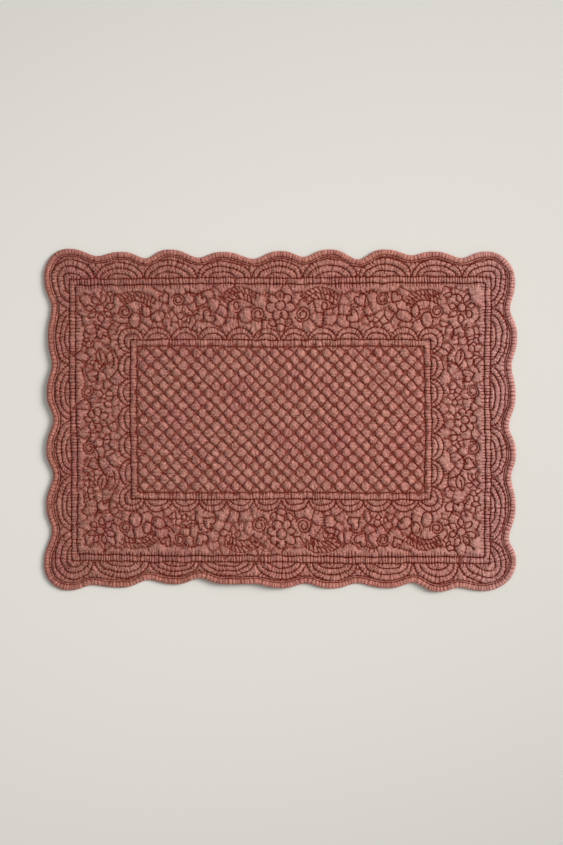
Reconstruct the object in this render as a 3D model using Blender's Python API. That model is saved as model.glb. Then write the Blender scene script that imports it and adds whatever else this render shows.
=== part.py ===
"""Quilted cotton placemat, 50 cm wide, lying flat: a wadded panel with its quilting raised in the top face,
and the bias binding that is folded over its scalloped edge. Lengths are millimetres until a mesh is made."""

import math
from collections import namedtuple

import bpy
from mathutils import Vector, geometry

MM = 0.001

# ---- Thickness, measured up from the table ----------------------------------------------------------
STITCH_Z = 1.6          # top face where a stitch line pulls it down
GROUND_Z = 2.8          # plain puckered ground between the motifs
CROWN_Z = 3.5           # crown of a diamond, a fan ridge or a channel
MOTIF_Z = 4.0           # crown of a petal, a heart or a leaf
EDGE_UNDER_Z = 1.4      # the panel's edge rides on the binding's lower fold
EDGE_TOP_Z = 2.6

# ---- Binding: a folded strip, sewn through the panel's edge -----------------------------------------
BINDING_WIDTH = 6.0
BINDING_CLOTH = 0.9     # the lower fold, two layers of pressed cloth
GAP = 0.3               # clearance between the two sewn pieces
PANEL_INSET = 1.6 + GAP
SEAM_INSET = BINDING_WIDTH + 2 * GAP
BindingPoint = namedtuple("BindingPoint", "inward z")
BINDING_SECTION = (
    BindingPoint(BINDING_WIDTH, 3.4),
    BindingPoint(3.5, 4.2),
    BindingPoint(1.0, 3.7),
    BindingPoint(0.0, 2.1),
    BindingPoint(0.9, 0.0),
    BindingPoint(BINDING_WIDTH, 0.0),
    BindingPoint(BINDING_WIDTH, BINDING_CLOTH),
    BindingPoint(PANEL_INSET - GAP, BINDING_CLOTH),
    BindingPoint(PANEL_INSET - GAP, EDGE_TOP_Z + GAP),
    BindingPoint(BINDING_WIDTH, EDGE_TOP_Z + GAP),
)

# ---- Scalloped edge: each side runs clockwise, from one corner's bulge to the next ------------------
# "along" is the distance along the side from its middle, "out" the distance from the mat's centre.
Side = namedtuple("Side", "name along_axis out_axis first_bulge first_dip lobes last_bulge")
Turn = namedtuple("Turn", "along out")
Lobe = namedtuple("Lobe", "crest crest_out dip dip_out")
SIDES = (
    Side("top", (1, 0), (0, 1), Turn(-224.7, 180.2), Turn(-193.4, 172.5), (
        Lobe(-168.5, 176.9, -142.4, 170.2),
        Lobe(-118.4, 179.4, -86.3, 170.9),
        Lobe(-62.0, 176.9, -28.5, 169.6),
        Lobe(-0.4, 177.8, 24.1, 171.6),
        Lobe(51.0, 179.4, 81.8, 169.0),
        Lobe(108.8, 179.4, 138.2, 173.3),
        Lobe(161.0, 177.3, 190.5, 170.5),
    ), Turn(217.3, 177.3)),
    Side("right", (0, -1), (1, 0), Turn(-145.8, 247.1), Turn(-116.8, 241.8), (
        Lobe(-88.1, 249.2, -55.7, 243.4),
        Lobe(-25.8, 247.5, 6.9, 240.5),
        Lobe(35.3, 247.9, 61.1, 242.7),
        Lobe(91.6, 247.5, 125.3, 240.5),
    ), Turn(149.5, 248.2)),
    Side("bottom", (-1, 0), (0, -1), Turn(-214.2, 180.9), Turn(-187.4, 177.3), (
        Lobe(-166.0, 181.6, -139.3, 172.1),
        Lobe(-113.0, 177.8, -80.2, 172.7),
        Lobe(-53.5, 178.2, -25.6, 172.9),
        Lobe(-1.0, 177.8, 28.5, 173.3),
        Lobe(56.5, 173.8, 86.3, 167.6),
        Lobe(111.0, 173.8, 139.3, 169.3),
        Lobe(168.8, 177.3, 198.3, 174.6),
    ), Turn(224.1, 180.2)),
    Side("left", (0, 1), (-1, 0), Turn(-153.5, 249.9), Turn(-117.2, 241.8), (
        Lobe(-91.0, 247.5, -58.6, 240.2),
        Lobe(-32.8, 247.5, 0.5, 240.2),
        Lobe(27.4, 247.1, 58.1, 241.8),
        Lobe(87.0, 245.8, 117.6, 242.2),
    ), Turn(149.9, 249.9)),
)
HALF_LOBE_STEPS = 4
CORNER_STEPS = 4
CREST_BREADTH = 1.3     # over 1 makes the crests broader than the dips between them

# ---- Stitched frames: half width and half height of each line's rectangle ---------------------------
Frame = namedtuple("Frame", "half_x half_y")
OUTER_CHANNEL = (Frame(221.0, 149.0), Frame(215.0, 142.6))
INNER_CHANNEL = (Frame(158.5, 84.0), Frame(151.6, 77.0))
CHANNEL_STEP = 14.0

# The cloth has drawn the corners of the outer frame a little off square.
CornerPull = namedtuple("CornerPull", "side_x side_y pull_x pull_y")
CORNER_PULLS = (
    CornerPull(-1, 1, -3.1, -0.8),
    CornerPull(1, 1, -0.2, 1.9),
    CornerPull(-1, -1, 1.0, -0.1),
    CornerPull(1, -1, -0.2, -3.3),
)
WOBBLE = 0.5            # how far the stitching wanders off its line
WOBBLE_LENGTHS = (27.0, 71.0, 31.0, 64.0)

# ---- Quilting ---------------------------------------------------------------------------------------
# Arcs spring from a frame line. "spread" is the share of the way to the next dip, "rise" of the way out.
Arc = namedtuple("Arc", "spread rise z steps")
FAN_ARCS = (
    Arc(0.22, 0.17, CROWN_Z, 2),
    Arc(0.46, 0.33, STITCH_Z, 3),
    Arc(0.61, 0.475, CROWN_Z, 3),
    Arc(0.76, 0.62, STITCH_Z, 4),
    Arc(0.865, 0.76, CROWN_Z, 3),
    Arc(0.97, 0.90, STITCH_Z, 4),
)
SCALLOP_ARCS = (
    Arc(0.3, 0.3, CROWN_Z, 2),
    Arc(0.55, 0.58, STITCH_Z, 2),
    Arc(0.78, 0.79, CROWN_Z, 2),
    Arc(1.0, 1.0, STITCH_Z, 3),
)
FILLER_SHARE = 0.6      # how far out the puff between two fans lies
SCALLOP_RISE = 12.7
SCALLOP_CORNER = 13.5   # from the frame's corner to the foot of the first small scallop
SCALLOPS_ACROSS = 10
SCALLOPS_DOWN = 5
DIAMONDS_ACROSS = 22
DIAMONDS_DOWN = 11

# Flower border: one quarter of it, mirrored to the other three. A turn of 0 points right.
Motif = namedtuple("Motif", "kind x y size turn")
BORDER_MOTIFS = (
    Motif("flower", 0.0, 120.5, 16.0, 90),
    Motif("scroll", 25.0, 111.5, 8.0, 200),
    Motif("feather", 47.0, 128.0, 22.0, 80),
    Motif("heart", 74.5, 106.0, 8.0, 90),
    Motif("heart", 70.0, 122.0, 8.0, 160),
    Motif("heart", 85.5, 126.5, 8.0, 20),
    Motif("scroll", 108.0, 127.0, 9.0, 20),
    Motif("feather", 104.0, 107.0, 14.0, 100),
    Motif("heart", 128.0, 127.0, 8.5, 60),
    Motif("leaf", 137.0, 112.0, 10.0, 300),
    Motif("scroll", 161.0, 113.5, 8.0, 160),
    Motif("feather", 162.0, 131.0, 16.0, 90),
    Motif("flower", 189.5, 117.5, 15.5, 60),
    Motif("feather", 204.0, 82.0, 14.0, 0),
    Motif("leaf", 186.5, 89.0, 9.0, 250),
    Motif("heart", 186.0, 65.0, 8.5, 190),
    Motif("heart", 200.0, 50.0, 8.0, 60),
    Motif("scroll", 201.5, 31.0, 8.0, 250),
    Motif("feather", 182.0, 27.0, 14.0, 180),
    Motif("flower", 194.5, 0.0, 14.0, 0),
)
PETALS = 6
GROUND_PITCH = 9.5      # spacing of the puffs that fill the plain ground
GROUND_CLEAR = 4.2      # how near a ground puff may come to other stitching
BARB = 3.0              # half width of a feather
EDGE_CROWN_SHIFT = 0.5  # cut diamonds at the frame have their crowns this share of a half pitch inside it

# ---- Where the edge stands off the table ------------------------------------------------------------
Lift = namedtuple("Lift", "side along spread height")
EDGE_LIFTS = (
    Lift("bottom", 40.0, 62.0, 4.2),
    Lift("bottom", -150.0, 40.0, 1.6),
    Lift("left", 20.0, 90.0, 2.2),
    Lift("top", 60.0, 50.0, 1.0),
    Lift("right", 60.0, 45.0, 1.2),
)
LIFT_START = Frame(180.0, 108.0)   # inside this rectangle the mat lies flat on the table

COTTON = (0.30, 0.115, 0.085)
COTTON_BINDING = (0.34, 0.135, 0.10)
COTTON_ROUGHNESS = 0.92
CREASE_ANGLE = math.radians(20)   # a groove between puffs is sharper than this


def clear_scene():
    for old in list(bpy.data.objects):
        bpy.data.objects.remove(old, do_unlink=True)


def place(side, along, out):
    """A point given along a side and out from the centre, as x and y."""
    return (
        side.along_axis[0] * along + side.out_axis[0] * out,
        side.along_axis[1] * along + side.out_axis[1] * out,
    )


def edge_curve():
    """The binding's outer edge, clockwise: eased waves along the sides, quarter ellipses at the corners."""
    points = []
    for index, side in enumerate(SIDES):
        turns = [side.first_bulge, side.first_dip]
        for lobe in side.lobes:
            turns += [Turn(lobe.crest, lobe.crest_out), Turn(lobe.dip, lobe.dip_out)]
        turns.append(side.last_bulge)
        for start, end in zip(turns, turns[1:]):
            falling = end.out < start.out
            for step in range(HALF_LOBE_STEPS):
                share = step / HALF_LOBE_STEPS
                from_crest = share if falling else 1 - share
                fall = 0.5 - 0.5 * math.cos(math.pi * from_crest ** CREST_BREADTH)
                high, low = max(start.out, end.out), min(start.out, end.out)
                along = start.along + (end.along - start.along) * share
                points.append(place(side, along, high + (low - high) * fall))
        following = SIDES[(index + 1) % len(SIDES)]
        from_point = Vector(place(side, *side.last_bulge))
        to_point = Vector(place(following, *following.first_bulge))
        along_axis = Vector(side.along_axis)
        across = along_axis * (to_point - from_point).dot(along_axis)
        down = to_point - from_point - across
        for step in range(CORNER_STEPS):
            angle = math.pi / 2 * step / CORNER_STEPS
            points.append(tuple(from_point + across * math.sin(angle) + down * (1 - math.cos(angle))))
    return points


EDGE = edge_curve()
CENTRE_X = (min(x for x, y in EDGE) + max(x for x, y in EDGE)) / 2
CENTRE_Y = (min(y for x, y in EDGE) + max(y for x, y in EDGE)) / 2


def inset(distance):
    """The edge curve moved inwards, along the normal at each point."""
    moved = []
    for index, (x, y) in enumerate(EDGE):
        before, after = EDGE[index - 1], EDGE[(index + 1) % len(EDGE)]
        run = Vector((after[0] - before[0], after[1] - before[1])).normalized()
        moved.append((x + run.y * distance, y - run.x * distance))
    return moved


def drawn_off(x, y):
    """How far the cloth has drawn a point of the pattern off its true place."""
    across, up = x / OUTER_CHANNEL[0].half_x, y / OUTER_CHANNEL[0].half_y
    shift_x = WOBBLE * math.sin(y / WOBBLE_LENGTHS[0] + x / WOBBLE_LENGTHS[1])
    shift_y = WOBBLE * math.sin(x / WOBBLE_LENGTHS[2] - y / WOBBLE_LENGTHS[3])
    reach = min(1.0, max(abs(across), abs(up))) ** 3
    for corner in CORNER_PULLS:
        weight = reach * (1 + corner.side_x * across) * (1 + corner.side_y * up) / 4
        shift_x += weight * corner.pull_x
        shift_y += weight * corner.pull_y
    return shift_x, shift_y


def lift_at(x, y):
    """How high the table side of the cloth stands there: nothing inside LIFT_START, most at the edge."""
    height = 0.0
    for lift in EDGE_LIFTS:
        side = next(side for side in SIDES if side.name == lift.side)
        along = x * side.along_axis[0] + y * side.along_axis[1]
        out = x * side.out_axis[0] + y * side.out_axis[1]
        start = LIFT_START.half_y if side.out_axis[0] == 0 else LIFT_START.half_x
        edge = side.lobes[0].crest_out
        share = min(1.0, max(0.0, (out - start) / (edge - start)))
        height += lift.height * share ** 2 * math.exp(-((along - lift.along) / lift.spread) ** 2)
    return height


class Quilting:
    """Points and lines of the top face. A line is a groove or a ridge; a crown is a single raised point."""

    def __init__(self):
        self.points = []
        self.lines = []

    def crown(self, x, y, z):
        self.points.append((x, y, z))
        return len(self.points) - 1

    def arc(self, path, z):
        """A raised arc stops short of the stitch line that it springs from."""
        self.line(path if z == STITCH_Z else path[1:-1], z)

    def line(self, path, z, closed=False):
        first = len(self.points)
        self.points += [(x, y, z) for x, y in path]
        last = len(self.points) - 1
        self.lines += [(index, index + 1) for index in range(first, last)]
        if closed:
            self.lines.append((last, first))

    def clear_of_points(self, x, y, distance):
        return all((x - px) ** 2 + (y - py) ** 2 > distance ** 2 for px, py, z in self.points)


def quarter(foot, rise, steps):
    """Points of a quarter ellipse, from its foot (foot, 0) up to its top (0, rise), the top left out."""
    angles = [math.pi / 2 * step / steps for step in range(steps)]
    return [(foot * math.cos(angle), rise * math.sin(angle)) for angle in angles]


def arch(before, after, rise, steps):
    """A low arch over the origin, from (-before, 0) to (after, 0), as (along, out) points."""
    left = [(-along, out) for along, out in quarter(before, rise, steps)]
    right = quarter(after, rise, steps)
    return left + [(0.0, rise)] + right[::-1]


def frame_path(half_x, half_y, step):
    """A rectangle as a closed path with a point about every step."""
    corners = [(-half_x, half_y), (half_x, half_y), (half_x, -half_y), (-half_x, -half_y)]
    path = []
    for start, end in zip(corners, corners[1:] + corners[:1]):
        length = abs(end[0] - start[0]) + abs(end[1] - start[1])
        count = max(1, round(length / step))
        for index in range(count):
            share = index / count
            path.append((start[0] + (end[0] - start[0]) * share, start[1] + (end[1] - start[1]) * share))
    return path


def sew_channel(quilting, frames):
    outer, inner = frames
    middle = Frame((outer.half_x + inner.half_x) / 2, (outer.half_y + inner.half_y) / 2)
    for frame, z in ((outer, STITCH_Z), (middle, CROWN_Z), (inner, STITCH_Z)):
        quilting.line(frame_path(frame.half_x, frame.half_y, CHANNEL_STEP), z, closed=True)


def sew_corner(quilting, frame, sign_x, sign_y, reach_x, reach_y, foot_x, foot_y, arcs):
    """Arcs that run from a frame's side, right round its corner, to the next side."""
    for arc in arcs:
        top = quarter(foot_x * arc.spread, reach_y * arc.rise, arc.steps)
        round_corner = [(-x, y) for x, y in quarter(reach_x * arc.rise, reach_y * arc.rise, arc.steps + 1)]
        side = [(-out, -along) for along, out in quarter(foot_y * arc.spread, reach_x * arc.rise, arc.steps)]
        path = top + round_corner[::-1] + side[::-1]
        quilting.arc([(sign_x * (frame.half_x - x), sign_y * (frame.half_y + y)) for x, y in path], arc.z)


def sew_fans(quilting):
    frame = OUTER_CHANNEL[0]
    for side in SIDES:
        base = frame.half_y if side.out_axis[0] == 0 else frame.half_x
        dip = side.first_dip.along
        for lobe in side.lobes:
            rise = lobe.crest_out - SEAM_INSET - base
            for arc in FAN_ARCS:
                before, after = (lobe.crest - dip) * arc.spread, (lobe.dip - lobe.crest) * arc.spread
                path = arch(before, after, rise * arc.rise, arc.steps)
                quilting.arc([place(side, lobe.crest + a, base + out) for a, out in path], arc.z)
            dip = lobe.dip
        for turn in [side.first_dip] + [Turn(lobe.dip, lobe.dip_out) for lobe in side.lobes]:
            out = base + (turn.out - SEAM_INSET - base) * FILLER_SHARE
            quilting.crown(*place(side, turn.along, out), GROUND_Z)
    by_name = {side.name: side for side in SIDES}
    for name_y, sign_y in (("top", 1), ("bottom", -1)):
        for name_x, sign_x in (("left", -1), ("right", 1)):
            flat, upright = by_name[name_y], by_name[name_x]
            at_first = sign_x * flat.along_axis[0] < 0
            bulge_y = flat.first_bulge if at_first else flat.last_bulge
            dip_x = flat.first_dip.along if at_first else flat.lobes[-1].dip
            at_first = sign_y * upright.along_axis[1] < 0
            bulge_x = upright.first_bulge if at_first else upright.last_bulge
            dip_y = upright.first_dip.along if at_first else upright.lobes[-1].dip
            sew_corner(
                quilting, frame, sign_x, sign_y,
                bulge_x.out - SEAM_INSET - frame.half_x, bulge_y.out - SEAM_INSET - frame.half_y,
                frame.half_x - abs(dip_x), frame.half_y - abs(dip_y), FAN_ARCS[1:],
            )


def sew_scallops(quilting):
    frame = INNER_CHANNEL[0]
    for side in SIDES:
        flat = side.out_axis[0] == 0
        length, base = (frame.half_x, frame.half_y) if flat else (frame.half_y, frame.half_x)
        count = SCALLOPS_ACROSS if flat else SCALLOPS_DOWN
        half = (length - SCALLOP_CORNER) / count
        for index in range(count):
            middle = -length + SCALLOP_CORNER + half * (2 * index + 1)
            for arc in SCALLOP_ARCS:
                path = arch(half * arc.spread, half * arc.spread, SCALLOP_RISE * arc.rise, arc.steps)
                quilting.arc([place(side, middle + a, base + out) for a, out in path], arc.z)
    for sign_x in (-1, 1):
        for sign_y in (-1, 1):
            sew_corner(
                quilting, frame, sign_x, sign_y, SCALLOP_RISE, SCALLOP_RISE,
                SCALLOP_CORNER, SCALLOP_CORNER, SCALLOP_ARCS[1:],
            )


def sew_diamonds(quilting):
    """Diagonal lines both ways. Even places of the half-pitch grid are crossings, odd ones are crowns."""
    frame = INNER_CHANNEL[1]
    half_x, half_y = frame.half_x / DIAMONDS_ACROSS, frame.half_y / DIAMONDS_DOWN
    crossings = {}
    for column in range(-DIAMONDS_ACROSS, DIAMONDS_ACROSS + 1):
        for row in range(-DIAMONDS_DOWN, DIAMONDS_DOWN + 1):
            x, y = column * half_x, row * half_y
            if (column + row) % 2 == 0:
                crossings[column, row] = quilting.crown(x, y, STITCH_Z)
                continue
            at_side = abs(column) == DIAMONDS_ACROSS
            at_end = abs(row) == DIAMONDS_DOWN
            inwards_x = 1 - EDGE_CROWN_SHIFT / DIAMONDS_ACROSS if at_side else 1
            inwards_y = 1 - EDGE_CROWN_SHIFT / DIAMONDS_DOWN if at_end else 1
            quilting.crown(x * inwards_x, y * inwards_y, GROUND_Z if at_side or at_end else CROWN_Z)
    for (column, row), start in crossings.items():
        for step in (1, -1):
            end = crossings.get((column + 1, row + step))
            if end is not None:
                quilting.lines.append((start, end))


def petal_flower(size):
    """Closed petal outline, ring round the eye, a spoke between petals, and the crowns."""
    outline, ring, crowns = [], [], [(0.0, 0.0)]
    for petal in range(PETALS):
        middle = 2 * math.pi * petal / PETALS
        for turn, reach in ((-0.33, 0.92), (0.0, 1.0), (0.33, 0.92), (math.pi / PETALS, 0.66)):
            outline.append((size * reach * math.cos(middle + turn), size * reach * math.sin(middle + turn)))
        ring_angle = middle + math.pi / PETALS
        ring.append((0.33 * size * math.cos(ring_angle), 0.33 * size * math.sin(ring_angle)))
        crowns.append((0.66 * size * math.cos(middle), 0.66 * size * math.sin(middle)))
    spokes = [[ring[petal], outline[4 * petal + 3]] for petal in range(PETALS)]
    return [outline, ring], spokes, crowns


def heart(size):
    """Two lobes pointing along +x, with the tip at -x."""
    outline = [
        (-1.0, 0.0), (-0.35, 0.62), (0.35, 0.86), (0.85, 0.58), (0.62, 0.0),
        (0.85, -0.58), (0.35, -0.86), (-0.35, -0.62),
    ]
    crowns = [(0.25 * size, 0.4 * size), (0.25 * size, -0.4 * size)]
    return [[(size * x, size * y) for x, y in outline]], [], crowns


def leaf(size):
    outline = [(-1.0, 0.0), (-0.4, 0.42), (0.35, 0.4), (1.0, 0.0), (0.35, -0.4), (-0.4, -0.42)]
    return [[(size * x, size * y) for x, y in outline]], [], [(-0.25 * size, 0.0), (0.35 * size, 0.0)]


def scroll(size):
    """A tendril that curls in one and a quarter turns, with crowns between its turns."""
    turns = [2 * math.pi * step / 8 for step in range(10)]
    curl = [(size * (1 - 0.085 * step), angle) for step, angle in enumerate(turns)]
    path = [(radius * math.cos(angle), radius * math.sin(angle)) for radius, angle in curl]
    between = 0.62 * size
    crowns = [(between * math.cos(angle), between * math.sin(angle)) for angle in turns[1:7:2]]
    return [], [path], [(0.0, 0.0)] + crowns


def feather(size):
    """A curved rib with short barbs on both sides."""
    rib = [(size * math.sin(angle), size * (1 - math.cos(angle))) for angle in (-0.7, -0.35, 0.0, 0.35, 0.7)]
    crowns = []
    for start, end in zip(rib, rib[1:]):
        middle_x, middle_y = (start[0] + end[0]) / 2, (start[1] + end[1]) / 2
        crowns += [(middle_x, middle_y + BARB), (middle_x, middle_y - BARB)]
    return [], [rib], crowns


INSIDE_ONLY = 1          # the triangulation leaves out what lies outside the edge
WELD_DISTANCE = 0.01
MOTIF_SHAPES = {"flower": petal_flower, "heart": heart, "leaf": leaf, "scroll": scroll, "feather": feather}


def sew_border(quilting):
    for motif in BORDER_MOTIFS:
        closed_lines, open_lines, crowns = MOTIF_SHAPES[motif.kind](motif.size)
        cos_turn, sin_turn = math.cos(math.radians(motif.turn)), math.sin(math.radians(motif.turn))
        for sign_x in (1, -1) if motif.x else (1,):
            for sign_y in (1, -1) if motif.y else (1,):

                def laid(point):
                    x = motif.x + point[0] * cos_turn - point[1] * sin_turn
                    y = motif.y + point[0] * sin_turn + point[1] * cos_turn
                    return sign_x * x, sign_y * y

                for path in closed_lines:
                    quilting.line([laid(point) for point in path], STITCH_Z, closed=True)
                for path in open_lines:
                    quilting.line([laid(point) for point in path], STITCH_Z)
                for point in crowns:
                    quilting.crown(*laid(point), MOTIF_Z)


def fill_ground(quilting):
    """Puffs over what is left of the flower border."""
    columns = int(OUTER_CHANNEL[1].half_x / GROUND_PITCH)
    rows = int(OUTER_CHANNEL[1].half_y / GROUND_PITCH)
    for row in range(-rows, rows + 1):
        for column in range(-columns, columns + 1):
            x = (column + 0.5 * (row % 2)) * GROUND_PITCH
            y = row * GROUND_PITCH
            in_border = abs(x) > INNER_CHANNEL[0].half_x or abs(y) > INNER_CHANNEL[0].half_y
            if in_border and quilting.clear_of_points(x, y, GROUND_CLEAR):
                quilting.crown(x, y, GROUND_Z)


def triangulate(points, lines):
    """Triangles inside the edge, whose points come first, with every line kept as an edge of them."""
    boundary = list(range(len(EDGE)))
    flat = [Vector(point[:2]) for point in points]
    made = geometry.delaunay_2d_cdt(flat, lines, [boundary], INSIDE_ONLY, WELD_DISTANCE)
    return made[0], made[2], made[3]


def panel_top():
    """Points and faces of the panel's top face. The first points are the edge, in order."""
    quilting = Quilting()
    for distance in (PANEL_INSET, SEAM_INSET):
        ring = [(x - drawn_off(x, y)[0], y - drawn_off(x, y)[1]) for x, y in inset(distance)]
        quilting.line(ring, EDGE_TOP_Z, closed=True)
    sew_fans(quilting)
    sew_channel(quilting, OUTER_CHANNEL)
    sew_scallops(quilting)
    sew_channel(quilting, INNER_CHANNEL)
    sew_diamonds(quilting)
    sew_border(quilting)
    fill_ground(quilting)
    flat, faces, origins = triangulate(quilting.points, quilting.lines)
    points = []
    for point, origin in zip(flat, origins):
        # Where two lines cross the mesh has a new point, and the stitches pull it down.
        z = min(quilting.points[index][2] for index in origin) if origin else STITCH_Z
        shift_x, shift_y = drawn_off(point.x, point.y)
        x, y = point.x + shift_x, point.y + shift_y
        points.append((x, y, z + lift_at(x, y)))
    return points, faces


def panel_underside():
    """Points and faces of the table side. The first points are the edge, in the same order."""
    points = [(x, y, EDGE_UNDER_Z) for x, y in inset(PANEL_INSET)]
    for frame in (OUTER_CHANNEL[1], LIFT_START):
        points += [(x, y, 0.0) for x, y in frame_path(frame.half_x, frame.half_y, 2 * CHANNEL_STEP)]
    flat, faces, origins = triangulate(points, [])
    lifted = []
    for point, origin in zip(flat, origins):
        z = points[origin[0]][2]
        lifted.append((point.x, point.y, z + lift_at(point.x, point.y)))
    return lifted, faces


def add_object(name, points, faces, colour):
    mesh = bpy.data.meshes.new(name)
    mesh.from_pydata([((x - CENTRE_X) * MM, (y - CENTRE_Y) * MM, z * MM) for x, y, z in points], [], faces)
    mesh.validate()
    obj = bpy.data.objects.new(name, mesh)
    bpy.context.scene.collection.objects.link(obj)
    bpy.context.view_layer.objects.active = obj
    obj.select_set(True)
    bpy.ops.object.mode_set(mode="EDIT")
    bpy.ops.mesh.select_all(action="SELECT")
    bpy.ops.mesh.normals_make_consistent(inside=False)
    bpy.ops.object.mode_set(mode="OBJECT")
    obj.select_set(False)
    mesh.shade_smooth()
    mesh.set_sharp_from_angle(angle=CREASE_ANGLE)
    material = bpy.data.materials.new(name)
    material.use_nodes = True
    shader = material.node_tree.nodes["Principled BSDF"]
    shader.inputs["Base Color"].default_value = (*colour, 1.0)
    shader.inputs["Roughness"].default_value = COTTON_ROUGHNESS
    shader.inputs["Metallic"].default_value = 0.0
    mesh.materials.append(material)
    return obj


def quilted_panel():
    top, top_faces = panel_top()
    under, under_faces = panel_underside()
    start = len(top)
    count = len(EDGE)
    walls = [
        (index, (index + 1) % count, start + (index + 1) % count, start + index) for index in range(count)
    ]
    under_faces = [tuple(start + index for index in reversed(face)) for face in under_faces]
    return add_object("quilted_panel", top + under, list(top_faces) + walls + under_faces, COTTON)


def edge_binding():
    rings = [inset(point.inward) for point in BINDING_SECTION]
    count, around = len(BINDING_SECTION), len(EDGE)
    points, faces = [], []
    for station in range(around):
        lift = lift_at(*rings[1][station])
        for ring, section in zip(rings, BINDING_SECTION):
            points.append((*ring[station], section.z + lift))
    for station in range(around):
        following = (station + 1) % around
        for corner in range(count):
            after = (corner + 1) % count
            faces.append((
                station * count + corner, station * count + after,
                following * count + after, following * count + corner,
            ))
    return add_object("edge_binding", points, faces, COTTON_BINDING)


clear_scene()
quilted_panel()
edge_binding()
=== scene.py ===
"""Looks of a quilted cotton placemat that lies flat: its top cloth with all the quilting, the backing cloth,
the gathered binding and the thread. Lengths are millimetres until a mesh is made."""
import math
from collections import namedtuple

import bpy
import numpy as np
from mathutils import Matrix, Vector, geometry
from mathutils.kdtree import KDTree


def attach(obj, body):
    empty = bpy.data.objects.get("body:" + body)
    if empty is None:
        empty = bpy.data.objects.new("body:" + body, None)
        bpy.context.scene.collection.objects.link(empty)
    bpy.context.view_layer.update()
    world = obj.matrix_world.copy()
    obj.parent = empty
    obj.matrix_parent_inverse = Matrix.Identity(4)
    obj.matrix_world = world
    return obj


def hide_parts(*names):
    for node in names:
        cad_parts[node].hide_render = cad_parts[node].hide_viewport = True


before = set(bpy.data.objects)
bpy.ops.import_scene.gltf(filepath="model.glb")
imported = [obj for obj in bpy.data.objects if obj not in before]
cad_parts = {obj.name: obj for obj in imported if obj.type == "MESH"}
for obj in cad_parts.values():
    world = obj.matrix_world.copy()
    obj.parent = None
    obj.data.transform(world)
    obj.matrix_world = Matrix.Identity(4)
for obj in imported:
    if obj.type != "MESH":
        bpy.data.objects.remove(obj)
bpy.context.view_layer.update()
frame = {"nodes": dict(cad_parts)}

# ---- Centre of the top cloth ------------------------------------------------------------------------
# The mat's face is one washed cotton cloth, sewn through thin wadding to the backing and made here as
# three sheets that meet under stitch lines. In this one, diagonal lines leave small puffed diamonds
# inside a straight channel of two lines. Washing has drawn up the thread, which puckers the cloth.
MM = 0.001
MIDDLE_X = 0.35           # where the middle of the quilting lies in the frame
MIDDLE_Y = 0.70
STITCH_Z = 1.6            # height of the cloth under a stitch
CENTRE_FRAME = (158.5, 84.0)    # half width and half height of each stitched rectangle
LATTICE_FRAME = (151.6, 77.0)
OUTER_FRAME = (221.0, 149.0)
DIAMONDS_ACROSS = 22
DIAMONDS_DOWN = 11
CELLS_IN_DIAMOND = 9      # mesh cells in half a diamond
SAMPLE_STEP = 0.25
FULL_PUFF = 3.6           # how high the wadding can lift the cloth over its stitches
PUFF_SLOPE = 1.5
FILM_ROUNDS = 350
STITCH_REACH = 12.0       # stitches farther outside a sheet are left out
ONTO_LINE = 0.94          # how far a point beside a stitch line moves onto it
TIED_DOWN = 0.55          # from this strength on, the wadding can't lift a tied place
APART = 10000.0           # keeps the gathers of one line apart from those of the next

Lift = namedtuple("Lift", "out_x out_y x y spread height start edge")
EDGE_LIFTS = (            # where the edge stands off the table, as the width of its shadow shows
    Lift(0, -1, -40.0, 0.0, 60.0, 5.4, 108.0, 181.6),
    Lift(0, -1, 150.0, 0.0, 40.0, 2.4, 108.0, 181.6),
    Lift(-1, 0, 0.0, 20.0, 90.0, 2.2, 180.0, 247.5),
    Lift(0, 1, 60.0, 0.0, 50.0, 1.0, 108.0, 176.9),
    Lift(1, 0, 0.0, -60.0, 45.0, 1.2, 180.0, 249.2),
)
CornerPull = namedtuple("CornerPull", "side_x side_y pull_x pull_y")
CORNER_PULLS = (          # the cloth has drawn the corners of the outer frame a little off square
    CornerPull(-1, 1, -3.1, -0.8),
    CornerPull(1, 1, -0.2, 1.9),
    CornerPull(-1, -1, 1.0, -0.1),
    CornerPull(1, -1, -0.2, -3.3),
)
SHIFTS = ((0.32, 19, 1, 2), (0.28, 11, 3, 4), (0.17, 6.5, 11, 12))     # size, length, seed for x and for y
dice = np.random.default_rng(11)


def uneven(x, y, length, seed, waves=8):
    """A smooth random field of about -1 to 1, with bumps about that length apart."""
    toss = np.random.default_rng(seed)
    field = np.zeros(np.shape(x))
    for wave in range(waves):
        heading = toss.uniform(0, 2 * math.pi)
        number = 2 * math.pi / (length * toss.uniform(0.75, 1.6))
        phase = toss.uniform(0, 2 * math.pi)
        field += np.sin(number * (x * math.cos(heading) + y * math.sin(heading)) + phase)
    return field / math.sqrt(waves)


def laid(x, y):
    """Where a point of the flat pattern lies on the washed mat."""
    across, up = x / OUTER_FRAME[0], y / OUTER_FRAME[1]
    shift_x = 0.5 * np.sin(y / 27 + x / 71)
    shift_y = 0.5 * np.sin(x / 31 - y / 64)
    for size, length, seed_x, seed_y in SHIFTS:
        shift_x = shift_x + size * uneven(x, y, length, seed_x)
        shift_y = shift_y + size * uneven(x, y, length, seed_y)
    reach = np.minimum(1, np.maximum(abs(across), abs(up))) ** 3
    for corner in CORNER_PULLS:
        weight = reach * (1 + corner.side_x * across) * (1 + corner.side_y * up) / 4
        shift_x = shift_x + weight * corner.pull_x
        shift_y = shift_y + weight * corner.pull_y
    return x + shift_x, y + shift_y


def lift_at(x, y):
    """How high the table side of the cloth stands there."""
    height = np.zeros(np.shape(x))
    for lift in EDGE_LIFTS:
        out = x * lift.out_x + y * lift.out_y
        along = (x - lift.x) * abs(lift.out_y) + (y - lift.y) * abs(lift.out_x)
        share = np.clip((out - lift.start) / (lift.edge - lift.start), 0, 1)
        height += lift.height * share ** 2 * np.exp(-((along / lift.spread) ** 2))
    return height


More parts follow.
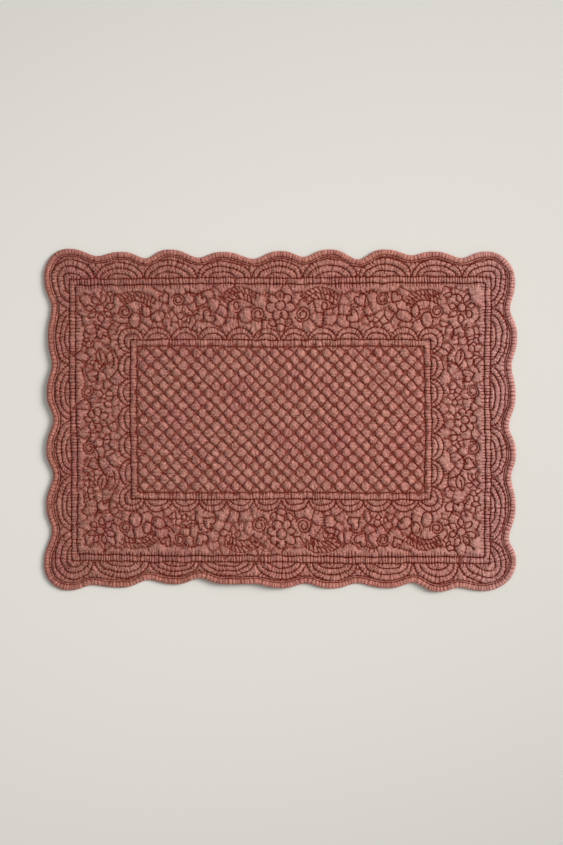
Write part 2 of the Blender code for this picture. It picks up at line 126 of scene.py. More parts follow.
def stitched_height(x, y):
    """Height of the cloth where it is stitched: a little wavy, and lifted with the edge."""
    return STITCH_Z + 0.18 * uneven(x, y, 48, 5) + lift_at(x, y)


def lengths_along(points):
    """The distance along a path up to each of its points."""
    return np.concatenate([[0], np.cumsum(np.hypot(*np.diff(points, axis=0).T))])


def point_at(where, along, points):
    """The points of a path at those distances along it."""
    return np.stack([np.interp(where, along, points[:, axis]) for axis in (0, 1)], axis=-1)


def tree_of(points):
    tree = KDTree(len(points))
    for index, (x, y) in enumerate(points[:, :2].tolist()):
        tree.insert((x, y, 0.0), index)
    tree.balance()
    return tree


def nearest(tree, x, y):
    """For each place, which point of the tree is nearest, and its distance."""
    found = [tree.find((px, py, 0.0)) for px, py in zip(x.tolist(), y.tolist())]
    return np.array([one[1] for one in found]), np.array([one[2] for one in found])


X, Y, GATHERED, KEPT, PUCKER, SLACK = range(6)     # columns of a stitch sample
PLACE, DEPTH, REACH = range(3)                     # columns of a crease


class Stitching:
    """Every stitch line as close samples, and the gathers that cross the lines."""

    def __init__(self):
        self.samples = []
        self.creases = []
        self.ties = []        # x, y and radius of places that are drawn down where lines cross
        self.paths = []       # the lines whose thread shows
        self.families = 0

    def gathers(self, start, end, pitch, reach=(2.5, 7.0), strong=0.6):
        """Uneven creases for one line, or for a family of lines that they all cross. A share is strong."""
        self.families += 1
        count = int((end - start) / pitch) + 3
        steps = dice.uniform(0.65, 1.35, count)
        places = start - 1.5 * pitch + np.cumsum(steps) * (end - start + 3 * pitch) / steps.sum()
        is_strong = dice.random(count) < strong
        depth = np.where(is_strong, dice.uniform(0.75, 1.0, count), dice.uniform(0.2, 0.6, count))
        far = dice.uniform(*reach, count)
        self.creases.append(np.stack([places + self.families * APART, depth, far], axis=1))
        return self.families

    def sew(self, path, family, gather=None, kept=1.0, pucker=1.0, slack=0.0, thread=True):
        """A line through the points of path. gather gives each point's place along the gathers."""
        path = np.asarray(path, float)
        along = lengths_along(path)
        places = np.linspace(0, along[-1], max(2, int(along[-1] / SAMPLE_STEP) + 1))
        x, y = point_at(places, along, path).T
        gathered = np.interp(places, along, along if gather is None else gather) + family * APART
        alike = [np.full(len(places), value) for value in (kept, pucker, slack)]
        self.samples.append(np.stack([x, y, gathered, *alike], axis=1))
        if thread:
            self.paths.append((x, y))

    def line(self, path, pitch=3.4, **how):
        """A line with gathers of its own."""
        length = np.hypot(*np.diff(np.asarray(path, float), axis=0).T).sum()
        self.sew(path, self.gathers(0, length, pitch), **how)


stitching = Stitching()


def sew_channel(outer, inner, strong):
    """Two parallel rectangles. The gathers of a side cross both of its lines."""
    for axis in (0, 1):
        for sign in (-1, 1):
            length = outer[axis]
            family = stitching.gathers(-length, length, 3.1, reach=(3.2, 8.0), strong=strong)
            for half in (outer, inner):
                ends = []
                for end in (-half[axis], half[axis]):
                    ends.append((end, sign * half[1]) if axis == 0 else (sign * half[0], end))
                stitching.sew(ends, family, gather=(-half[axis], half[axis]))


def sew_lattice():
    """Diagonals both ways across the frame. The thread is slacker in one of the two ways."""
    half_x = LATTICE_FRAME[0] / DIAMONDS_ACROSS
    half_y = LATTICE_FRAME[1] / DIAMONDS_DOWN
    total = DIAMONDS_ACROSS + DIAMONDS_DOWN
    for way in (1, -1):
        for level in range(-total + 1 + (total + 1) % 2, total, 2):
            rows = sorted((way * (level - DIAMONDS_ACROSS), way * (level + DIAMONDS_ACROSS)))
            low, high = max(-DIAMONDS_DOWN, rows[0]), min(DIAMONDS_DOWN, rows[1])
            ends = [((level - way * row) * half_x, row * half_y) for row in (low, high)]
            stitching.line(ends, pitch=4.2, pucker=0.4, slack=0.35 if way < 0 else 0.1)
    for column in range(-DIAMONDS_ACROSS, DIAMONDS_ACROSS + 1):
        for row in range(-DIAMONDS_DOWN, DIAMONDS_DOWN + 1):
            if (column + row) % 2 == 0:
                stitching.ties.append((column * half_x, row * half_y, dice.uniform(2.3, 3.4)))


def drawn_down(x, y):
    """How strongly the cloth is drawn down, from 0 to 1, where lines cross."""
    ties = np.array(stitching.ties)
    index, distance = nearest(tree_of(ties), x, y)
    return np.exp(-((distance / ties[index, 2]) ** 3))


def creased(samples, distance):
    """Depth of the gathers at each point, and how far round it is from one gather (0) to the next."""
    creases = np.concatenate(stitching.creases)
    place, kept = samples[:, GATHERED], samples[:, KEPT]
    after = np.clip(np.searchsorted(creases[:, PLACE], place), 1, len(creases) - 1)
    before, after = creases[after - 1], creases[after]
    share = np.clip((place - before[:, PLACE]) / (after[:, PLACE] - before[:, PLACE]), 0, 1)
    depth, reach = np.zeros((2, len(samples)))
    for crease, weight in ((before, 1 - share), (after, share)):
        wanted = (crease[:, DEPTH] > 1.15 - kept) | (kept >= 1)
        depth += weight * wanted * crease[:, DEPTH]
        reach += weight * crease[:, REACH]
    return depth * samples[:, PUCKER] * np.exp(-((distance / reach) ** 2)), 2 * math.pi * share


def fold_line(gather, turn):
    """How deep a gather's fold is at each point: sharp along its middle."""
    return gather * (0.5 + 0.5 * np.cos(turn)) ** 4


def swollen(free, step):
    """The wadding lifts the cloth between stitches as a soap film stands over them."""
    film = np.zeros(free.shape)
    gain = 0.25 * free[1:-1, 1:-1]
    for turn in range(FILM_ROUNDS):
        beside = film[:-2, 1:-1] + film[2:, 1:-1] + film[1:-1, :-2] + film[1:-1, 2:]
        film[1:-1, 1:-1] = gain * (beside + step * step)
    swell = np.sqrt(2 * film)
    bulge = swell ** 2 / (swell + 3.0)
    return film, FULL_PUFF * (1 - np.exp(-bulge * PUFF_SLOPE / FULL_PUFF))


def crown_near(inside, values, passes):
    """The highest value within a few cells of each grid point, evened out."""
    crown = np.zeros(inside.shape)
    crown[inside] = values
    for turn in range(passes):
        for axis in (0, 1):
            crown = np.maximum(crown, np.maximum(np.roll(crown, 1, axis), np.roll(crown, -1, axis)))
    for turn in range(passes):
        for axis in (0, 1):
            crown = 0.5 * crown + 0.25 * (np.roll(crown, 1, axis) + np.roll(crown, -1, axis))
    return crown[inside]


def cloth_marks(groove, level, off_line, line, gather, turn):
    """What the finish reads at each point: shadow, place up a puff, distance from a stitch, and gathers."""
    return {
        "groove": groove, "level": level, "off_line": off_line, "line": line,
        "gather": gather, "gather_x": np.cos(turn), "gather_y": np.sin(turn),
    }


def cloth_object(name, points, triangles, flat, marks):
    """A mesh of the cloth, with its flat pattern as the UV map and marks as point attributes."""
    mesh = bpy.data.meshes.new(name)
    mesh.vertices.add(len(points))
    shifted = (points + np.array([MIDDLE_X, MIDDLE_Y, 0.0])) * MM
    mesh.vertices.foreach_set("co", shifted.ravel())
    mesh.loops.add(triangles.size)
    mesh.loops.foreach_set("vertex_index", triangles.ravel().astype(np.int32))
    mesh.polygons.add(len(triangles))
    mesh.polygons.foreach_set("loop_start", np.arange(0, triangles.size, 3, dtype=np.int32))
    mesh.update(calc_edges=True)
    mesh.shade_smooth()
    plan = mesh.uv_layers.new(name="cloth")
    plan.data.foreach_set("uv", (flat[triangles.ravel()] * MM).ravel())
    for mark, values in marks.items():
        attribute = mesh.attributes.new(mark, "FLOAT", "POINT")
        attribute.data.foreach_set("value", values.astype(np.float32))
    piece = bpy.data.objects.new(name, mesh)
    bpy.context.scene.collection.objects.link(piece)
    return piece


def grid_cloth(name, inside, points, flat, marks, faces_down=False):
    """Two triangles for each wanted cell of a grid. The side they share joins its two lower corners."""
    number = np.full(inside.shape, -1)
    number[inside] = np.arange(inside.sum())
    rows, columns = np.nonzero(inside[:-1, :-1] & inside[1:, :-1] & inside[:-1, 1:] & inside[1:, 1:])
    a, b = number[rows, columns], number[rows, columns + 1]
    c, d = number[rows + 1, columns + 1], number[rows + 1, columns]
    heights = -points[:, 2] if faces_down else points[:, 2]
    first = (heights[a] + heights[c] <= heights[b] + heights[d])[:, None]
    one = np.where(first, np.stack([a, b, c], 1), np.stack([a, b, d], 1))
    two = np.where(first, np.stack([a, c, d], 1), np.stack([b, c, d], 1))
    triangles = np.concatenate([one, two])
    if faces_down:
        triangles = triangles[:, ::-1]
    used = np.unique(triangles)
    renumber = np.zeros(len(points), int)
    renumber[used] = np.arange(len(used))
    marks = {mark: values[used] for mark, values in marks.items()}
    return cloth_object(name, points[used], renumber[triangles], flat[used], marks)


def quilted_cloth(name, columns, rows, wanted, shadow=(0.36, 0.52), beside=3, settle=None):
    """One sheet of the top cloth on a grid of the flat pattern, from columns of x and rows of y.

    shadow says how far up its side a puff is darker, as a share of its height, and how dark. Its height
    is measured against the highest cloth within beside cells.
    """
    x, y = np.meshgrid(columns, rows)
    inside = wanted(x, y)
    flat_x, flat_y = x[inside], y[inside]
    step = float(np.median(np.diff(columns)))
    samples = np.concatenate(stitching.samples)
    samples = samples[abs(samples[:, X]) < columns[-1] + STITCH_REACH]
    index, distance = nearest(tree_of(samples), flat_x, flat_y)
    sample = samples[index]
    held = distance < 0.5 * step
    tied = drawn_down(flat_x, flat_y)
    onto_line = ONTO_LINE * held
    flat_x = flat_x + onto_line * (sample[:, X] - flat_x)
    flat_y = flat_y + onto_line * (sample[:, Y] - flat_y)
    free = np.zeros(x.shape)
    free[inside] = ~held & (tied < TIED_DOWN)
    film, puff = (field[inside] for field in swollen(free, step))
    distance = np.where(held, 0.0, distance)
    gather, turn = creased(sample, distance)
    puff = puff * (1 + 0.2 * uneven(flat_x, flat_y, 10, 6)) * (1 - 0.8 * fold_line(gather, turn))
    puff += sample[:, SLACK] * np.exp(-((distance / 1.3) ** 2))
    crumple = 0.10 * uneven(flat_x, flat_y, 4.5, 7) + 0.08 * uneven(flat_x, flat_y, 2.6, 8)
    puff += crumple * (1 - np.exp(-distance / 1.0))
    real_x, real_y = laid(flat_x, flat_y)
    height = stitched_height(real_x, real_y) + puff
    level = film / (crown_near(inside, film, beside) + 0.2)
    level *= 1 + 0.14 * uneven(flat_x, flat_y, 2.4, 9) + 0.12 * uneven(flat_x, flat_y, 5.5, 10)
    # Painted shade: the colour is darker up the foot of each puff and where crossing lines draw the cloth
    # down.
    foot = shadow[1] * np.clip(1 - level / shadow[0], 0, 1)
    groove = np.maximum(foot, 0.6 * tied)
    marks = cloth_marks(groove, level, distance, 1 - 0.75 * sample[:, SLACK], gather, turn)
    if settle:
        height, marks = settle(real_x, real_y, puff, marks)
    points, flat = np.stack([real_x, real_y, height], axis=1), np.stack([flat_x, flat_y], axis=1)
    return grid_cloth(name, inside, points, flat, marks)


def grid_places(*stops):
    """Places from the middle out to each (stop, cells up to it) in turn, and mirrored to the other side."""
    places, start = [np.zeros(1)], 0.0
    for stop, cells in stops:
        places.append(np.linspace(start, stop, cells + 1)[1:])
        start = stop
    half = np.concatenate(places)
    return np.concatenate([-half[:0:-1], half])


def beyond(frame, x, y, margin=-0.01):
    """Which places lie outside a stitched rectangle. Those on its lines count too."""
    return (abs(x) > frame[0] + margin) | (abs(y) > frame[1] + margin)


sew_channel(CENTRE_FRAME, LATTICE_FRAME, 0.4)
sew_lattice()
centre_columns, centre_rows = (
    grid_places((LATTICE_FRAME[axis], diamonds * CELLS_IN_DIAMOND), (CENTRE_FRAME[axis], CELLS_IN_DIAMOND))
    for axis, diamonds in enumerate((DIAMONDS_ACROSS, DIAMONDS_DOWN)))
centre_cloth = quilted_cloth(
    "centre_cloth", centre_columns, centre_rows, lambda x, y: np.full(x.shape, True),
    shadow=(0.38, 0.6), beside=6)


def maths(operation, turned=False):
    """A method that adds a Math node for a value and another number, or the other way about."""
    def method(self, other=0.0):
        first, second = (other, self) if turned else (self, other)
        return self.finish.node("ShaderNodeMath", {"operation": operation}, {0: first, 1: second})
    return method


class Value:
    """A number that varies over the cloth. Python's operators on it add Math nodes."""

    def __init__(self, finish, socket):
        self.finish = finish
        self.socket = socket

    __add__ = __radd__ = maths("ADD")
    __sub__ = maths("SUBTRACT")
    __rsub__ = maths("SUBTRACT", turned=True)
    __mul__ = __rmul__ = maths("MULTIPLY")
    __truediv__ = maths("DIVIDE")
    __pow__ = maths("POWER")
    larger = maths("MAXIMUM")
    sine = maths("SINE")
    exponential = maths("EXPONENT")


class Finish:
    """A material, and the nodes that are added to it."""

    def __init__(self, name):
        self.material = bpy.data.materials.new(name)
        self.material.use_nodes = True
        self.shader = self.material.node_tree.nodes["Principled BSDF"]

    def fill(self, node, sockets):
        """Gives a node's sockets their numbers and colours, or links them to values."""
        for name, value in sockets.items():
            if isinstance(value, Value):
                self.material.node_tree.links.new(value.socket, node.inputs[name])
            else:
                node.inputs[name].default_value = value

    def node(self, kind, settings, sockets, output=0):
        made = self.material.node_tree.nodes.new(kind)
        for name, value in settings.items():
            setattr(made, name, value)
        self.fill(made, sockets)
        return Value(self, made.outputs[output])

    def mark(self, name):
        """A mark that the mesh carries, such as how near a stitch the cloth is there."""
        return self.node("ShaderNodeAttribute", {"attribute_name": name}, {}, output=2)

    def noise(self, where, scale, detail=2.0, roughness=0.5):
        sockets = {"Vector": where, "Scale": scale, "Detail": detail, "Roughness": roughness}
        return self.node("ShaderNodeTexNoise", {}, sockets)

    def part(self, vector, axis):
        return self.node("ShaderNodeSeparateXYZ", {}, {0: vector}, output=axis)

    def ramp(self, value, low, high, top=1.0):
        """0 up to low, then evenly more up to top, which it reaches at high."""
        sockets = {"Value": value, "From Min": low, "From Max": high, "To Max": top}
        return self.node("ShaderNodeMapRange", {}, sockets)

    def crimps(self, plan, stretch):
        """Fine wrinkles that run along the way in which the flat pattern is stretched."""
        drawn = self.node("ShaderNodeVectorMath", {"operation": "MULTIPLY"}, {0: plan, 1: stretch})
        return self.noise(drawn, 400.0, 1.0)

    def mix(self, share, first, second, blend="MIX"):
        """Two colours mixed by a share."""
        settings = {"data_type": "RGBA", "blend_type": blend}
        return self.node("ShaderNodeMix", settings, {0: share, 6: first, 7: second}, output=2)


WHITE = (1.0, 1.0, 1.0, 1.0)
COTTON_PUFF = (0.474, 0.219, 0.176, 1.0)      # washed crowns
GROOVE_SHADE_AND_DYE = (0.120, 0.009, 0.003, 1.0)    # painted shade in the grooves, with the deeper dye that washed cotton keeps there
SHADE_AND_DYE_TINT = (0.85, 0.52, 0.43, 1.0)          # what painted shade and fuller dye halfway down take off the crowns' colour
COTTON_ROSE = (0.450, 0.180, 0.160, 1.0)      # patches where the dye has turned pinker
PAINTED_LIT_SIDE = (0.486, 0.262, 0.240, 1.0)      # painted light: the side towards the lamp is paler
GROOVE_SHADE_DEPTH = 0.97         # how far the darkest painted shade in the grooves reaches its full colour
WEAVE_SCALE = 1900.0      # threads, from the flat pattern in metres


def cotton_finish(name, puff):
    """Patchy washed, garment-dyed plain weave: painted shade and deeper dye in grooves, painted light and
    wear on crowns.
    """
    finish = Finish(name)
    plan = finish.node("ShaderNodeUVMap", {"uv_map": "cloth"}, {})
    place = finish.node("ShaderNodeTexCoord", {}, {}, output=3)
    east, north = finish.part(place, 0), finish.part(place, 1)
    patches = finish.noise(place, 22.0, 3.0, 0.6)
    blotches = finish.noise(place, 140.0, 3.0, 0.65)
    knots, fine = finish.noise(plan, 430.0, 1.0), finish.noise(plan, 620.0, 1.0)
    crinkle = finish.noise(plan, 330.0, 3.0, 0.55)

    # Each gather has a sharp crease, and thinner crimps at thirds of the way to the next.
    round_x, round_y = finish.mark("gather_x"), finish.mark("gather_y")
    across = round_x / (round_x * round_x + round_y * round_y + 0.0001) ** 0.5
    gather = finish.mark("gather")
    fold = 0.5 + 0.5 * across
    crease = gather * fold ** 4.0
    thirds = across * (4.0 * across * across - 3.0)
    crimp = gather * (0.5 + 0.5 * thirds) ** 2.0

    # Painted shade darkens the colour at the stitches, in the creases and at the foot of the puffs;
    # washed cotton also keeps some deeper dye there.
    off_line = finish.mark("off_line") * (1.2 - 0.5 * gather * fold * fold)
    near_line = (-1.5 * off_line * off_line).exponential()
    line = finish.mark("line") * near_line * (3.4 * knots - 0.6 + 0.4 * crease)
    dark = finish.mark("groove").larger(line).larger(1.25 * crease).larger(0.28 * crimp)
    # The painted shade grows darker towards the right.
    dark = dark * (1.0 + 0.5 * east)

    # Short wrinkles stand across the edge that is nearer: upright ones by the top and bottom.
    ends = north * north - 0.45 * east * east + 0.02 * (patches - 0.5)
    level_crimps = finish.crimps(plan, (0.2, 1.0, 1.0))
    upright_crimps = finish.crimps(plan, (1.0, 0.2, 1.0))
    wrinkles = level_crimps + finish.ramp(ends, -0.002, 0.002) * (upright_crimps - level_crimps)

    # Rosy patches and a side painted paler towards the lamp, under the speckle of the weave and then the
    # painted shade and deeper dye.
    cloth = finish.mix(finish.ramp(patches, 0.42, 0.68, 0.8), puff, COTTON_ROSE)
    cloth = finish.mix(finish.ramp(east, 0.14, 0.25, 0.8), cloth, PAINTED_LIT_SIDE)
    # shade paints light: brighter towards the lamp on the right and on the crowns, which also show wear, and
    # painted shade across the wrinkles. The blotches and the weave's speckle are the cloth's own tone.
    shade = 0.85 + 0.78 * east + 0.08 * finish.mark("level") + 0.20 * (blotches - 0.5)
    shade = shade + (1.4 + 1.8 * near_line) * (fine - 0.46) + 1.2 * (wrinkles - 0.5)
    grey = finish.node("ShaderNodeCombineColor", {}, {0: shade, 1: shade, 2: shade})
    cloth = finish.mix(1.0, cloth, grey, "MULTIPLY")
    cloth = finish.mix(1.0, cloth, finish.mix(dark, WHITE, SHADE_AND_DYE_TINT), "MULTIPLY")
    cloth = finish.mix(dark * GROOVE_SHADE_DEPTH, cloth, GROOVE_SHADE_AND_DYE)

    threads = finish.node("ShaderNodeVectorMath", {"operation": "SCALE"}, {0: plan, "Scale": WEAVE_SCALE})
    warp, weft = finish.part(threads, 0), finish.part(threads, 1)
    weave = (warp * math.pi).sine() * (weft * math.pi).sine()
    relief = 0.10 * weave + 1.8 * fine + 0.8 * crinkle + 2.5 * wrinkles
    relief = relief - 1.1 * crease - 0.4 * crimp - 0.8 * near_line
    bump = finish.node("ShaderNodeBump", {}, {"Strength": 0.7, "Distance": 0.00035, "Height": relief})
    finish.fill(finish.shader, {
        "Base Color": cloth, "Roughness": 0.92, "Specular IOR Level": 0.1, "Normal": bump})
    return finish.material


cloth_finish = cotton_finish("quilted_cotton", COTTON_PUFF)
centre_cloth.data.materials.append(cloth_finish)
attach(centre_cloth, "root")
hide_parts("quilted_panel")

# ---- Flower border of the top cloth -----------------------------------------------------------------
# The same cloth between the two channels. Small double scallops stand on the inner channel. Between
# them and the outer one run stitched flowers, daisies, hearts, leaves, tendrils and plumes, on a ground
# of small puffs.
BORDER_FRAME = (215.0, 142.6)
SCALLOP_RISE = 12.7
SCALLOP_CORNER = 13.5     # from the frame's corner to the foot of the first small scallop
SCALLOPS_ACROSS = 10
SCALLOPS_DOWN = 5
SCALLOP_ARCS = ((0.74, 0.52), (1.0, 1.0))     # share of the way along, and of the way out

# One quarter of the border, mirrored to the other three. A turn of 0 points right.
Motif = namedtuple("Motif", "kind x y size turn")
MOTIFS = [Motif(*row) for row in (
    ("flower", 0.0, 120.5, 16.5, 90), ("petal", 0.0, 97.5, 4.8, 0),
    ("petal", 8.6, 102.5, 4.6, 60), ("scroll", 23.5, 111.5, 9.0, 200),
    ("petal", 46.5, 120.0, 3.9, 90), ("heart", 77.0, 107.5, 7.4, 140),
    ("heart", 84.5, 125.0, 7.4, 120), ("scroll", 107.5, 125.5, 7.4, 20),
    ("heart", 121.5, 127.5, 6.0, 60), ("petal", 154.0, 105.0, 8.2, 95),
    ("petal", 142.0, 113.5, 6.2, 80), ("petal", 130.0, 108.5, 8.0, 150),
    ("scroll", 164.5, 114.0, 7.8, 160), ("daisy", 190.5, 117.5, 16.0, 60),
    ("heart", 188.0, 92.5, 7.0, 250), ("leaf", 189.0, 66.0, 9.5, 260),
    ("heart", 198.0, 47.0, 7.0, 200), ("scroll", 202.0, 30.0, 7.6, 250),
    ("flower", 194.0, 0.0, 13.5, 0),
)]
# Patches of close stitching in small pebbles, and plain patches that puff up in one: an ellipse each.
Patch = namedtuple("Patch", "x y half_x half_y pebble")
PATCHES = [Patch(*row) for row in (
    (56.0, 120.5, 6.5, 6.5, 3.9), (180.0, 131.0, 9.0, 6.0, 4.0), (146.0, 100.0, 14.0, 8.0, 11.0),
    (103.0, 103.5, 12.0, 5.0, 3.9), (205.0, 81.0, 5.0, 14.0, 3.9), (184.0, 24.0, 5.0, 13.0, 3.9),
    (171.0, 90.0, 5.0, 11.0, 4.0), (49.0, 104.0, 20.0, 9.5, 13.0), (172.0, 50.0, 8.0, 30.0, 11.5),
    (200.0, 63.0, 8.0, 5.0, 3.9), (98.0, 137.0, 30.0, 4.0, 12.0), (205.0, 134.0, 9.0, 7.0, 11.0),
)]
GROUND_PEBBLE = 8.4
# Feathered plumes: rows of short slanted cells, one outside the other, over a bowed rib.
Plume = namedtuple("Plume", "x1 y1 x2 y2 bow rows barb slant")
PLUMES = (
    Plume(29.0, 121.0, 56.0, 120.0, 6.5, 2, 6.2, 3.4),
    Plume(136.0, 117.0, 166.0, 121.0, 6.0, 2, 5.4, 3.0),
)
# Single curved stems that tie the motifs together.
Stem = namedtuple("Stem", "x1 y1 x2 y2 bow")
STEMS = [Stem(*row) for row in (
    (45.0, 112.0, 44.0, 97.0, 0.6), (72.0, 113.0, 82.0, 118.0, 2.0), (86.0, 117.0, 101.0, 112.0, -6.0),
    (90.0, 132.0, 102.0, 131.0, 2.0), (113.0, 119.0, 122.0, 112.0, -2.0), (172.0, 112.0, 178.0, 106.0, 2.0),
    (176.0, 103.0, 180.0, 84.0, 4.0), (196.0, 101.0, 199.0, 82.0, -4.0), (183.0, 76.0, 178.0, 55.0, -5.0),
    (200.0, 66.0, 205.0, 55.0, 2.0), (205.0, 22.0, 200.0, 12.0, -2.0), (176.0, 62.0, 192.0, 38.0, 7.0),
)]


def quarter(foot, rise, steps=10):
    """A quarter ellipse from its foot (foot, 0) up to its top (0, rise)."""
    angles = [math.pi / 2 * step / steps for step in range(steps + 1)]
    return [(foot * math.cos(angle), rise * math.sin(angle)) for angle in angles]


def sew_arcs(place, before, after, rise, arcs, pitch):
    """Low arches over one point of a frame, with gathers that fan out through all of them."""
    outer = arcs[-1]
    length = math.pi * math.hypot((before + after) / 2 * outer[0], rise * outer[1]) / math.sqrt(2)
    family = stitching.gathers(0, length, pitch, reach=(3.0, 7.0))
    for number, (spread, share) in enumerate(arcs):
        left = [(-along, out) for along, out in quarter(before * spread, rise * share)]
        right = quarter(after * spread, rise * share)[::-1]
        path = [place(along, out) for along, out in left + right[1:]]
        gather = np.linspace(0, length, len(path))
        stitching.sew(path, family, gather=gather, kept=1.0 if number else 0.5, pucker=0.8)


def sew_corner(frame, signs, reach, foot, arcs, pitch):
    """Arcs that run from a frame's side right round its corner to the next side."""
    length = 0.5 * math.pi * (reach[0] + reach[1]) * arcs[-1][1] / 2 + foot[0] + foot[1]
    family = stitching.gathers(0, length, pitch, reach=(3.0, 7.0))
    for spread, share in arcs:
        top = quarter(foot[0] * spread, reach[1] * share)
        turn = [(-x, y) for x, y in quarter(reach[0] * share, reach[1] * share)]
        side = [(-out, -along) for along, out in quarter(foot[1] * spread, reach[0] * share)]
        path = top + turn[::-1][1:] + side[::-1][1:]
        path = [(signs[0] * (frame[0] - x), signs[1] * (frame[1] + y)) for x, y in path]
        stitching.sew(path, family, gather=np.linspace(0, length, len(path)), pucker=0.8)


def on_side(side, half, middle):
    """Gives the place of a point (along, out) over a frame's side: 0 top, 1 right, 2 bottom, 3 left."""
    sign = 1 if side in (0, 1) else -1
    if side in (0, 2):
        return lambda along, out: (middle + along, sign * (half[1] + out))
    return lambda along, out: (sign * (half[0] + out), middle + along)


def sew_scallops():
    for side in range(4):
        length = CENTRE_FRAME[side % 2]
        count = SCALLOPS_ACROSS if side % 2 == 0 else SCALLOPS_DOWN
        foot = (length - SCALLOP_CORNER) / count
        for index in range(count):
            middle = -length + SCALLOP_CORNER + foot * (2 * index + 1)
            sew_arcs(on_side(side, CENTRE_FRAME, middle), foot, foot, SCALLOP_RISE, SCALLOP_ARCS, 3.2)
    for signs in ((-1, -1), (-1, 1), (1, -1), (1, 1)):
        sew_corner(CENTRE_FRAME, signs, (SCALLOP_RISE,) * 2, (SCALLOP_CORNER,) * 2, SCALLOP_ARCS, 3.2)


def polar(radius, turn):
    return radius * math.cos(turn), radius * math.sin(turn)


def ring(radius, steps=24):
    return [polar(radius, 2 * math.pi * step / steps) for step in range(steps + 1)]


def flower(size, petals=7):
    """Round petals about an eye, no two alike."""
    paths = [ring(0.32 * size)]
    for petal in range(petals):
        middle = 2 * math.pi * (petal + dice.uniform(-0.12, 0.12)) / petals
        length, breadth = dice.uniform(0.26, 0.36) * size, dice.uniform(0.23, 0.31) * size
        path = []
        for step in range(-10, 11):
            turn = math.radians(12.5 * step)
            out = 0.62 * size + length * math.cos(turn)
            aside = breadth * math.sin(turn)
            path.append((
                out * math.cos(middle) - aside * math.sin(middle),
                out * math.sin(middle) + aside * math.cos(middle),
            ))
        paths.append(path)
    return paths


def heart(size):
    """Two lobes pointing along +x, with the tip at -x."""
    path = []
    for step in range(29):
        turn = 2 * math.pi * step / 28
        across = 16 * math.sin(turn) ** 3
        up = 13 * math.cos(turn) - 5 * math.cos(2 * turn) - 2 * math.cos(3 * turn) - math.cos(4 * turn)
        path.append((size * up / 15, size * across / 17))
    return [path]


def bowed(x1, y1, x2, y2, bow, steps=14):
    """A curve between two points that bows to its left."""
    length = math.hypot(x2 - x1, y2 - y1)
    left_x, left_y = -(y2 - y1) / length, (x2 - x1) / length
    path = []
    for step in range(steps + 1):
        share = step / steps
        out = 4 * bow * share * (1 - share)
        path.append((x1 + (x2 - x1) * share + left_x * out, y1 + (y2 - y1) * share + left_y * out))
    return path


def daisy(size, petals=7):
    """Slim pointed petals about an eye, each of its own length."""
    paths = [ring(0.28 * size)]
    for petal in range(petals):
        middle = 2 * math.pi * (petal + dice.uniform(-0.1, 0.1)) / petals
        foot, tip = 0.34 * size, dice.uniform(0.9, 1.06) * size
        for bow in (-0.2 * size, 0.2 * size):
            paths.append(bowed(*polar(foot, middle), *polar(tip, middle), bow))
    return paths


def leaf(size):
    return [
        bowed(-size, 0, size, 0, 0.48 * size),
        bowed(-size, 0, size, 0, -0.48 * size),
        bowed(-size * 0.7, 0, size * 0.4, 0, 0.08 * size),
    ]


def petal(size):
    return [[(x, 0.74 * y) for x, y in ring(size)]]


def scroll(size):
    """A tendril that curls in two turns."""
    return [[polar(size * (1 - 0.74 * step / 39), 2 * math.pi * step / 19) for step in range(40)]]


# For each kind of motif: its paths, the pitch of its gathers, and how far about it the ground is bare, as
# a share of its size.
Kind = namedtuple("Kind", "paths pitch bare")
KINDS = {
    "flower": Kind(flower, 3.6, 0.95), "daisy": Kind(daisy, 3.4, 0.95), "heart": Kind(heart, 3.6, 0.75),
    "leaf": Kind(leaf, 3.4, 0.55), "petal": Kind(petal, 3.2, 0.8), "scroll": Kind(scroll, 2.4, 1.0),
}


def four_ways(x, y):
    """The signs that mirror a quarter's motif, which isn't doubled where it lies on an axis."""
    return [(sx, sy) for sx in ((1, -1) if x else (1,)) for sy in ((1, -1) if y else (1,))]


def sew_plume(plume, sign_x, sign_y):
    """Each row's cells lean the same way on the mat, so a mirrored plume isn't quite a mirror image."""
    rib = np.array(bowed(*plume[:5], steps=30))
    run = np.gradient(rib, axis=0)
    out = np.stack([-run[:, 1], run[:, 0]], axis=1) / np.hypot(*run.T)[:, None]
    curves = [(rib + row * plume.barb * out) * (sign_x, sign_y) for row in range(plume.rows + 1)]
    for row, (inner, outer) in enumerate(zip(curves, curves[1:])):
        stitching.line(inner, pitch=2.8, pucker=0.5, slack=0.3 if row else 0.0)
        along = lengths_along(inner)
        count = int(along[-1] / 3.6)
        lean = -sign_x * sign_y * plume.slant
        for foot in (np.arange(count) + 0.5 + dice.uniform(-0.15, 0.15, count)) * along[-1] / count:
            ends = [*point_at(foot, along, inner), *point_at(foot + lean, along, outer)]
            stitching.line(bowed(*ends, dice.uniform(-0.5, 0.5), steps=6), pitch=2.6, pucker=0.4)
    stitching.line(curves[-1], pitch=2.8, pucker=0.5, slack=0.5)


def sew_motifs():
    for motif in MOTIFS:
        kind = KINDS[motif.kind]
        cos_turn, sin_turn = math.cos(math.radians(motif.turn)), math.sin(math.radians(motif.turn))
        for signs in four_ways(motif.x, motif.y):
            for path in kind.paths(motif.size):
                x, y = np.array(path).T
                placed = [motif.x + x * cos_turn - y * sin_turn, motif.y + x * sin_turn + y * cos_turn]
                stitching.line(np.stack(placed, axis=1) * signs, pitch=kind.pitch, pucker=0.5)
    for plume in PLUMES:
        for signs in four_ways(plume.x1, plume.y1):
            sew_plume(plume, *signs)
    for stem in STEMS:
        for signs in four_ways(stem.x1, stem.y1):
            stitching.line(np.array(bowed(*stem)) * signs, pitch=3.0)


def pebble_size(x, y):
    """How large the puffs of the ground are there."""
    for patch in PATCHES:
        if ((abs(x) - patch.x) / patch.half_x) ** 2 + ((abs(y) - patch.y) / patch.half_y) ** 2 < 1:
            return patch.pebble
    return GROUND_PEBBLE


